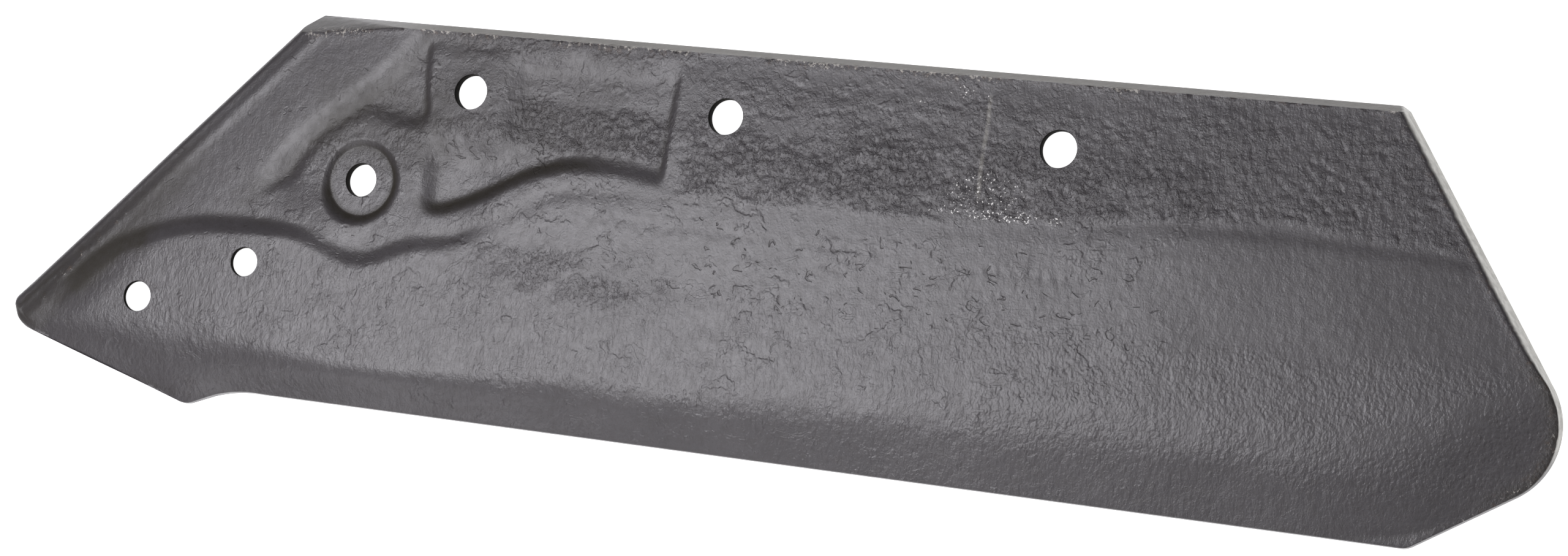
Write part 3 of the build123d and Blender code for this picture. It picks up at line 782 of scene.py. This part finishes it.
# Painted shade: the masks below darken hollows, the lower side of the nut seat's foot, the pocket's lower wall, patches
# over the valley, pocket and landside band, and the trench by the nose, where shade falls.
hollow_shade = np.clip(hollows(co[:, 0], co[:, 1]) / 0.20, 0, 1)
shaded_side = smooth((-(co[:, 1] - DISH[1]) + 0.35 * (co[:, 0] - DISH[0]) + 2) / 8.0)
seat_foot_shade = np.exp(-(((seat - DISH_R - 1.2) / 1.5) ** 2)) * shaded_side
lee = np.clip(side(co[:, 0], co[:, 1], POCKET)[0] / 3.2, -1, 1)
pocket_wall_shade = (1 - lee * lee) * window(co[:, 0], 53, 118, 8) * smooth((-co[:, 1] - 44.0) / 4.0)
shade_patches = 0.34 * window(co[:, 0], 6, 60, 8) * window(co[:, 1], -52, -22, 8) + 0.22 * window(co[:, 0], 50, 128, 12) * window(co[:, 1], -46, 6, 8)
land = LAND_N[0] * co[:, 0] + LAND_N[1] * co[:, 1]
shade_patches = shade_patches + 0.62 * window(land, 4, 17, 5) * smooth((-co[:, 0] - 40.0) / 12.0)
ridge_side = side(co[:, 0], co[:, 1], CREST)[0]
shade_patches = shade_patches + 0.42 * np.exp(-(((ridge_side - 3.0) / 5.0) ** 2)) * window(co[:, 0], -20, 48, 8)
TRENCH = through([(-58, -89.5, 3), (-66.5, -92.2, 3), (-74.8, -100.6, 3), (-81, -106, 3)], 4)
along = np.min([np.hypot(co[:, 0] - p[0], co[:, 1] - p[1]) for p in TRENCH], axis=0)
trench_shade = np.exp(-((along / 4.2) ** 2))
painted_shade = np.clip((0.42 + 0.38 * smooth((-co[:, 0] - 44.0) / 12.0)) * hollow_shade + seat_foot_shade + 0.8 * pocket_wall_shade + shade_patches + trench_shade, 0, 1)
upper = smooth((co[:, 2] - 2.2) / 0.8)
painted_shade = painted_shade * upper
kind_z["marks"] = kind_z["marks"] * upper
kind_z["rough"] = kind_z["rough"] * (0.4 + 0.6 * upper)

tree = nearest([rows[0][:, :2]])
rim_near = [tree.find((a, b, 0.0)) for a, b in zip(co[:, 0].tolist(), co[:, 1].tolist())]
rim_d = np.array([r[2] for r in rim_near])
rim_kind = kinds[np.array([r[1] for r in rim_near])]
strength = np.select([rim_kind == "joint", rim_kind == "wing"], [0.55 + 0.45 * chipped(co[:, 0]), 0.55], 0.0)
wear = strength * np.exp(-((rim_d / np.where(rim_kind == "joint", 1.3 + 1.3 * chipped(co[:, 0]), 1.5)) ** 2))
wear = wear * (co[:, 2] > body_top - 2.0) + 0.0
# bright spots where the ridge beside the landside edge has been struck
for a, b, r in ((-67.3, -79.2, 0.9), (-70.1, -82.8, 0.7), (-76.6, -89.8, 1.5), (-75.8, -91.2, 0.9), (-79.4, -93.5, 0.6), (-82.6, -95.5, 1.2),
                (-86.5, -101.9, 1.0), (-88.8, -104.1, 1.4), (-89.6, -103.4, 0.7), (-91.5, -106.4, 0.6), (-95.6, -114.2, 1.1)):
    wear = np.maximum(wear, 1.1 * np.exp(-(((co[:, 0] - a) ** 2 + (co[:, 1] - b) ** 2) / (r * r))) * (co[:, 2] > body_top - 2.0))
# edge-face masks: the first tints the trimmed edge faces a lighter olive-tan, partly their own colour and partly
# painted light; the second paints a light reflection onto the wing's edge face near the corner
wall = np.zeros(len(co))
wing_face_painted_light = np.zeros(len(co))
for k, f in enumerate(row_first[2:]):
    wall[f : f + n_rim] = np.select([kinds == "joint", kinds == "wing"], [0.25 + 0.75 * smooth((rows[0][:, 0] - 34.0) / 26.0), 0.30 * smooth((rows[0][:, 1] + 107.5) / 8.0)], 0.04)
    wing_face_painted_light[f : f + n_rim] = np.where(kinds == "wing", min(1.0, 0.35 + 0.5 * k) * smooth((rows[0][:, 1] + 107.5) / 8.0), 0.0)
# painted shade darkens the back beside the wing corner, where the paint is also chipped
by_wing = (rim_kind == "wing") * window(co[:, 1], -124, -78, 8) * (co[:, 2] > body_top - 1.0)
painted_shade = np.maximum(painted_shade, 0.75 * by_wing * np.exp(-((rim_d / 3.4) ** 2)))
wear = np.maximum(wear, 0.72 * by_wing * np.exp(-(((rim_d - 1.2) / 2.0) ** 2)))
# painted shade: the hole walls are marked to be painted near-black
bore_shade = np.zeros(len(co))
bore_shade[bore_from:bore_to] = 1.0

mesh = bpy.data.meshes.new("share_forged")
mm = co.copy()
mm[:, 0] -= SHIFT_U
mm[:, 1] -= SHIFT_V
mesh.vertices.add(len(co))
mesh.vertices.foreach_set("co", (mm / 1000.0).ravel())
mesh.loops.add(tri.size)
mesh.loops.foreach_set("vertex_index", tri.ravel())
mesh.polygons.add(len(tri))
mesh.polygons.foreach_set("loop_start", np.arange(len(tri)) * 3)
mesh.polygons.foreach_set("loop_total", np.full(len(tri), 3))
mesh.update(calc_edges=True)
mesh.validate()
for name, values in (("rough", kind_z["rough"]), ("vein", kind_z["vein"]), ("peel", kind_z["peel"]), ("bevel", kind_z["bevel"]), ("marks", kind_z["marks"]), ("painted_shade", painted_shade), ("wear", wear), ("wall", wall), ("wing_face_painted_light", wing_face_painted_light), ("bore_shade", bore_shade)):
    att = mesh.attributes.new(name, "FLOAT", "POINT")
    att.data.foreach_set("value", np.clip(values, 0, 1).astype(np.float32))
inside = np.all((tri >= bore_from - 0) & (tri < bore_to), axis=1)
mesh.polygons.foreach_set("material_index", inside.astype(np.int32))
mesh.shade_smooth()
mesh.set_sharp_from_angle(angle=math.radians(48))
share = bpy.data.objects.new("share_forged", mesh)
bpy.context.scene.collection.objects.link(share)
print("triangles", len(tri), "vertices", len(co))


# ---------------------------------------------------------------- material
def build_material():
    mat = bpy.data.materials.new("forged_steel")
    mat.use_nodes = True
    nt = mat.node_tree
    nodes, links = nt.nodes, nt.links
    shader = nodes["Principled BSDF"]

    def node(kind, **kw):
        n = nodes.new(kind)
        for k, v in kw.items():
            setattr(n, k, v)
        return n

    def link(a, b):
        links.new(a, b)

    def attr(name):
        n = node("ShaderNodeAttribute", attribute_name=name)
        return n.outputs["Fac"]

    def math_(op, a, b=None, c=None, clamp=False):
        n = node("ShaderNodeMath", operation=op, use_clamp=clamp)
        for i, x in enumerate((a, b, c)):
            if x is None:
                continue
            if isinstance(x, (int, float)):
                n.inputs[i].default_value = x
            else:
                link(x, n.inputs[i])
        return n.outputs[0]

    coord = node("ShaderNodeTexCoord").outputs["Object"]

    def scaled(sx, sy, sz, source=None):
        m = node("ShaderNodeMapping")
        m.inputs["Scale"].default_value = (sx * 1000, sy * 1000, sz * 1000)
        link(source or coord, m.inputs["Vector"])
        return m.outputs[0]

    def noise(vector, scale, detail=3.0, rough=0.5, distort=0.0):
        n = node("ShaderNodeTexNoise")
        n.inputs["Scale"].default_value = scale
        n.inputs["Detail"].default_value = detail
        n.inputs["Roughness"].default_value = rough
        n.inputs["Distortion"].default_value = distort
        link(vector, n.inputs["Vector"])
        return n.outputs["Fac"]

    def ramp(fac, stops):
        n = node("ShaderNodeValToRGB")
        cr = n.color_ramp
        while len(cr.elements) < len(stops):
            cr.elements.new(0.5)
        for e, (p, c) in zip(cr.elements, stops):
            e.position = p
            e.color = (*c, 1.0) if len(c) == 3 else c
        link(fac, n.inputs["Fac"])
        return n.outputs["Color"]

    def step(x, lo, hi):
        n = node("ShaderNodeMapRange", interpolation_type="SMOOTHSTEP", clamp=True)
        n.inputs["From Min"].default_value = lo
        n.inputs["From Max"].default_value = hi
        link(x, n.inputs["Value"])
        return n.outputs["Result"]

    def mix(fac, a, b):
        n = node("ShaderNodeMix", data_type="RGBA")
        link(fac, n.inputs["Factor"])
        for s, x in ((n.inputs[6], a), (n.inputs[7], b)):
            if isinstance(x, tuple):
                s.default_value = (*x, 1.0)
            else:
                link(x, s)
        return n.outputs[2]

    def cells(vector, scale):
        """distance to the nearest scattered point"""
        n = node("ShaderNodeTexVoronoi", feature="F1")
        n.inputs["Scale"].default_value = scale
        link(vector, n.inputs["Vector"])
        return n.outputs["Distance"]

    def bent(vector, amount):
        """coordinates shifted by noise, so that shapes set on them are irregular"""
        n = node("ShaderNodeTexNoise")
        n.inputs["Scale"].default_value = 0.9
        n.inputs["Detail"].default_value = 2.0
        link(vector, n.inputs["Vector"])
        m = node("ShaderNodeVectorMath", operation="MULTIPLY_ADD")
        link(n.outputs["Color"], m.inputs[0])
        m.inputs[1].default_value = (amount, amount, amount)
        link(vector, m.inputs[2])
        return m.outputs[0]

    one = scaled(1, 1, 1)
    shift = node("ShaderNodeVectorMath", operation="ADD")
    link(coord, shift.inputs[0])
    shift.inputs[1].default_value = (0.37, 0.21, 0.11)
    node_offset = shift.outputs[0]
    rough, vein, peel, bevel_, marks_, painted_shade_, wear_, edge_face_tint_and_light_, wing_face_painted_light_, bore_shade_ = (attr(n) for n in ("rough", "vein", "peel", "bevel", "marks", "painted_shade", "wear", "wall", "wing_face_painted_light", "bore_shade"))
    xyz = node("ShaderNodeSeparateXYZ")
    link(one, xyz.inputs[0])
    px, py = xyz.outputs[0], xyz.outputs[1]
    upper_side = step(xyz.outputs[2], 1.5, 3.0)

    blot = noise(one, 0.030, 5.0, 0.62)
    mott = noise(one, 0.30, 4.0, 0.65)
    specks = noise(one, 1.7, 3.0, 0.6)
    streak = noise(scaled(1, 0.20, 1), 0.85, 3.0, 0.6)
    base = ramp(blot, [(0.30, (0.046, 0.0425, 0.0455)), (0.70, (0.063, 0.0585, 0.0625))])
    base = mix(math_("MULTIPLY", step(mott, 0.40, 0.68), 0.45), base, (0.036, 0.031, 0.0315))
    base = mix(math_("MULTIPLY", step(streak, 0.46, 0.68), math_("MULTIPLY", vein, 0.30)), base, (0.100, 0.094, 0.100))
    base = mix(math_("MULTIPLY", step(specks, 0.55, 0.72), 0.48), base, (0.026, 0.0215, 0.021))
    # painted shade: a dark olive is mixed into the colour along the shade mask, which also makes those places rougher
    painted_shade_tint = math_("MULTIPLY", painted_shade_, math_("ADD", math_("MULTIPLY", mott, 0.7), 0.5), clamp=True)
    base = mix(math_("MULTIPLY", painted_shade_tint, 0.92), base, (0.020, 0.0165, 0.010))
    pits = noise(one, 0.80, 5.0, 0.7)
    pit_mask = math_("MULTIPLY", step(pits, 0.58, 0.70), math_("MULTIPLY", rough, 0.45))
    base = mix(pit_mask, base, (0.026, 0.021, 0.016))
    edge_noise = noise(one, 0.75, 4.0, 0.7)
    bare = step(math_("ADD", edge_noise, math_("MULTIPLY", wear_, 0.26)), 0.76, 0.86)
    bare = math_("MULTIPLY", bare, math_("GREATER_THAN", wear_, 0.06))
    base = mix(bare, base, (0.36, 0.34, 0.31))
    rust = math_("MULTIPLY", step(noise(one, 0.42, 4.0, 0.7), 0.52, 0.66), math_("MULTIPLY", wear_, 0.40))
    base = mix(rust, base, (0.105, 0.060, 0.033))
    # trimmed edge faces are duller and get a lighter olive-tan, partly their own colour and partly painted light; the
    # wing's edge face near the corner is painted light grey as a painted reflection
    base = mix(math_("MULTIPLY", edge_face_tint_and_light_, 0.75), base, (0.122, 0.114, 0.096))
    base = mix(wing_face_painted_light_, base, mix(step(mott, 0.35, 0.65), (0.52, 0.51, 0.475), (0.36, 0.35, 0.32)))
    # painted shade inside the holes: near-black colour on the hole walls
    base = mix(bore_shade_, base, (0.010, 0.009, 0.008))
    # thin vertical scratch with bare metal, and a cluster of painted glints: near-white specks standing in for sparkle
    wave = math_("MULTIPLY", math_("SUBTRACT", noise(one, 0.05, 2.0), 0.5), 2.0)
    sx = math_("ABSOLUTE", math_("SUBTRACT", math_("ADD", px, wave), 259.4 - SHIFT_U))
    scratch = math_("MULTIPLY", math_("SUBTRACT", 1.0, step(sx, 0.12, 1.15)), math_("MULTIPLY", step(py, -46.0 - SHIFT_V, -40.0 - SHIFT_V), math_("SUBTRACT", 1.0, step(py, -12.0 - SHIFT_V, -6.0 - SHIFT_V))))
    scratch = math_("MULTIPLY", scratch, step(noise(one, 0.30, 3.0), 0.22, 0.52))
    base = mix(math_("MULTIPLY", math_("MULTIPLY", scratch, upper_side), 0.60), base, (0.235, 0.225, 0.205))
    near = None
    for cu, cv, ru, rv, amount in ((262.0, -41.0, 16.0, 9.0, 0.7), (268.0, -48.6, 30.0, 2.4, 1.0), (252.0, -8.0, 9.0, 3.0, 0.6), (236.0, -12.0, 4.0, 2.0, 0.7)):
        gx = math_("DIVIDE", math_("SUBTRACT", px, cu - SHIFT_U), ru)
        gy = math_("DIVIDE", math_("SUBTRACT", py, cv - SHIFT_V), rv)
        disc = math_("SUBTRACT", amount, math_("MULTIPLY", step(math_("ADD", math_("MULTIPLY", gx, gx), math_("MULTIPLY", gy, gy)), 0.1, 1.1), amount))
        near = disc if near is None else math_("MAXIMUM", near, disc)
    painted_glints = step(math_("ADD", noise(one, 1.25, 2.0, 0.55), math_("MULTIPLY", near, 0.105)), 0.705, 0.74)
    painted_glints = math_("MULTIPLY", painted_glints, step(near, 0.02, 0.2))
    base = mix(math_("MULTIPLY", painted_glints, upper_side), base, (0.84, 0.83, 0.80))

    # lap lines: shallow wandering ledges where the scale has cracked
    flow = noise(scaled(0.6, 1, 1), 0.085, 3.5, 0.55, 0.5)
    gate = noise(one, 0.11, 3.0, 0.6)
    open_face = math_("SUBTRACT", 1.0, math_("MAXIMUM", edge_face_tint_and_light_, bore_shade_))
    lap = None
    inland = math_("MULTIPLY", step(math_("ADD", math_("MULTIPLY", px, 0.728), math_("MULTIPLY", py, -0.6855)), (30.0 - 0.728 * SHIFT_U + 0.6855 * SHIFT_V), (40.0 - 0.728 * SHIFT_U + 0.6855 * SHIFT_V)), math_("SUBTRACT", 1.0, step(px, 315.0 - SHIFT_U, 350.0 - SHIFT_U)))
    for level, g in ((0.45, 0.50), (0.50, 0.53), (0.56, 0.51)):
        ledge = math_("MULTIPLY", step(flow, level - 0.004, level + 0.004), step(gate, g, g + 0.08))
        lap = ledge if lap is None else math_("ADD", lap, ledge)
    lap = math_("MULTIPLY", math_("MULTIPLY", lap, open_face), inland)

    # short curled marks left by flakes
    curl = noise(scaled(0.8, 1, 1), 0.17, 1.5, 0.5, 0.4)
    mark = math_("SUBTRACT", 1.0, step(math_("ABSOLUTE", math_("SUBTRACT", curl, 0.47)), 0.004, 0.034))
    where = noise(scaled(1, 1, 1, node_offset), 0.20, 1.0, 0.5)
    mark = math_("MULTIPLY", mark, step(math_("ADD", where, math_("MULTIPLY", marks_, 0.15)), 0.655, 0.70))
    mark = math_("MULTIPLY", math_("MULTIPLY", mark, open_face), step(marks_, 0.02, 0.2))
    base = mix(math_("MULTIPLY", mark, 0.45), base, (0.018, 0.0155, 0.0145))

    link(base, shader.inputs["Base Color"])

    r = math_("ADD", math_("MULTIPLY", mott, 0.13), 0.275)
    r = math_("ADD", r, math_("MULTIPLY", rough, 0.05))
    r = math_("ADD", r, math_("MULTIPLY", painted_shade_tint, 0.17))
    r = math_("ADD", r, math_("MULTIPLY", edge_face_tint_and_light_, 0.22))
    r = math_("ADD", r, math_("MULTIPLY", bore_shade_, 0.45))
    link(r, shader.inputs["Roughness"])
    shader.inputs["Specular IOR Level"].default_value = 0.5
    shader.inputs["Metallic"].default_value = 0.0

    # bump, heights in millimetres
    fine = math_("ADD", math_("MULTIPLY", noise(one, 1.5, 3.0, 0.6), 0.060), math_("MULTIPLY", noise(scaled(1, 0.7, 1), 0.36, 3.0, 0.55), 0.13))
    v_ = math_("MULTIPLY", math_("MULTIPLY", noise(scaled(1, 0.46, 1), 0.62, 4.0, 0.58, 0.5), 0.22), vein)
    pebble = cells(bent(scaled(1, 0.85, 1), 0.8), 0.82)
    pebble = math_("ADD", math_("MULTIPLY", pebble, -0.080), math_("MULTIPLY", noise(scaled(1, 0.75, 1), 0.62, 3.5, 0.55, 0.3), 0.19))
    p_ = math_("MULTIPLY", pebble, peel)
    # pits, crumbs and low swells of the rough scale
    pit_in = math_("SUBTRACT", 1.0, step(noise(scaled(1, 0.75, 1), 0.70, 3.0, 0.55), 0.30, 0.50))
    grit_in = step(noise(one, 1.15, 2.0, 0.55), 0.52, 0.72)
    swell = noise(scaled(1, 0.66, 1), 0.55, 4.0, 0.58, 0.3)
    crumb = math_("ADD", math_("MULTIPLY", swell, 0.26), math_("SUBTRACT", math_("MULTIPLY", grit_in, 0.10), math_("MULTIPLY", pit_in, 0.14)))
    g_ = math_("MULTIPLY", crumb, rough)
    b_ = math_("MULTIPLY", math_("MULTIPLY", noise(scaled(1, 0.45, 1), 0.7, 3.0, 0.6), 0.14), bevel_)
    w_ = math_("MULTIPLY", math_("MULTIPLY", noise(one, 0.9, 4.0, 0.65), 0.35), wear_)
    h = math_("ADD", math_("ADD", math_("ADD", fine, v_), math_("ADD", p_, g_)), math_("ADD", b_, w_))
    h = math_("ADD", h, math_("SUBTRACT", math_("MULTIPLY", lap, 0.035), math_("MULTIPLY", mark, 0.085)))
    h = math_("MULTIPLY", h, math_("SUBTRACT", 1.0, math_("MULTIPLY", bore_shade_, 0.8)))
    bump = node("ShaderNodeBump")
    bump.inputs["Strength"].default_value = 1.0
    bump.inputs["Distance"].default_value = 0.001
    link(h, bump.inputs["Height"])
    link(bump.outputs["Normal"], shader.inputs["Normal"])
    return mat


mesh.materials.append(build_material())
# painted shade: the hole walls get a near-black, barely reflective material
bore_shade_mat = bpy.data.materials.new("forged_steel_bore_shade")
bore_shade_mat.use_nodes = True
bn, bl = bore_shade_mat.node_tree.nodes, bore_shade_mat.node_tree.links
bs = bn["Principled BSDF"]
tex_ = bn.new("ShaderNodeTexNoise")
tex_.inputs["Scale"].default_value = 700.0
tex_.inputs["Detail"].default_value = 4.0
bl.new(bn.new("ShaderNodeTexCoord").outputs["Object"], tex_.inputs["Vector"])
cr = bn.new("ShaderNodeValToRGB")
cr.color_ramp.elements[0].position, cr.color_ramp.elements[0].color = 0.35, (0.004, 0.0035, 0.003, 1)
cr.color_ramp.elements[1].position, cr.color_ramp.elements[1].color = 0.75, (0.016, 0.013, 0.010, 1)
bl.new(tex_.outputs["Fac"], cr.inputs["Fac"])
bl.new(cr.outputs["Color"], bs.inputs["Base Color"])
bs.inputs["Roughness"].default_value = 0.8
bs.inputs["Specular IOR Level"].default_value = 0.08
mesh.materials.append(bore_shade_mat)
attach(share, "root")
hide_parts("share")

# ---------------------------------------------------------------- floor
floor_mesh = bpy.data.meshes.new("floor")
floor_mesh.from_pydata([(-6, -6, 0), (6, -6, 0), (6, 6, 0), (-6, 6, 0)], [], [(0, 1, 2, 3)])
floor = bpy.data.objects.new("floor", floor_mesh)
floor.location = (0, 0, -0.0004)
bpy.context.scene.collection.objects.link(floor)
fm = bpy.data.materials.new("pale_floor")
fm.use_nodes = True
fs = fm.node_tree.nodes["Principled BSDF"]
fs.inputs["Base Color"].default_value = (0.93, 0.93, 0.93, 1)
fs.inputs["Roughness"].default_value = 0.9
fs.inputs["Specular IOR Level"].default_value = 0.1
fs.inputs["Emission Color"].default_value = (1, 1, 1, 1)
fs.inputs["Emission Strength"].default_value = 1.0
floor_mesh.materials.append(fm)

# ---------------------------------------------------------------- camera
F_PX = 6000.0
CAM_POS = (648.0, -168.5, 1178.4)
U_ = (0.92718926, 0.1004191, -0.36088238)
V_ = (0.13530118, -0.98813663, 0.07266084)
N_ = (-0.34930456, -0.11619816, -0.92977649)
right = Vector((U_[0], V_[0], N_[0]))
up = -Vector((U_[1], V_[1], N_[1]))
back = -Vector((U_[2], V_[2], N_[2]))
camera_data = bpy.data.cameras.new("camera")
camera_data.sensor_fit = "HORIZONTAL"
camera_data.sensor_width = 36.0
camera_data.lens = F_PX * 36.0 / 2560.0
camera_data.clip_start = 0.05
camera_data.clip_end = 50.0
camera = bpy.data.objects.new("camera", camera_data)
rot = Matrix((right, up, back)).transposed()
place = Vector(((CAM_POS[0] - SHIFT_U) / 1000, (CAM_POS[1] - SHIFT_V) / 1000, CAM_POS[2] / 1000))
camera.matrix_world = Matrix.Translation(place) @ rot.to_4x4()
bpy.context.scene.collection.objects.link(camera)
bpy.context.scene.camera = camera

# ---------------------------------------------------------------- light
bpy.context.scene.view_settings.view_transform = "Standard"
world = bpy.data.worlds.new("studio")
bpy.context.scene.world = world
world.use_nodes = True
bg = world.node_tree.nodes["Background"]
bg.inputs["Color"].default_value = (0.99, 0.98, 1.0, 1)
bg.inputs["Strength"].default_value = 0.10


def softbox(name, tilt_u, tilt_v, distance, size, power, color=(1, 1, 1)):
    """area light seen from the share's centre at these angles from its normal"""
    data = bpy.data.lights.new(name, "AREA")
    data.shape = "RECTANGLE"
    data.size, data.size_y = size
    data.energy = power
    data.color = color
    ob = bpy.data.objects.new(name, data)
    d = Vector((math.tan(math.radians(tilt_u)), math.tan(math.radians(tilt_v)), 1.0)).normalized()
    ob.location = d * distance
    ob.rotation_euler = d.to_track_quat("Z", "Y").to_euler()
    bpy.context.scene.collection.objects.link(ob)
    return ob


softbox("key", -23.0, -4.8, 1.28, (0.648, 0.602), 12.9, (0.975, 0.962, 1.0))
softbox("front", -22, -54, 1.8, (1.4, 0.80), 11.6, (0.98, 0.965, 1.0))
softbox("side", 16, -8, 1.9, (0.8, 0.9), 3.0, (0.98, 0.97, 1.0))

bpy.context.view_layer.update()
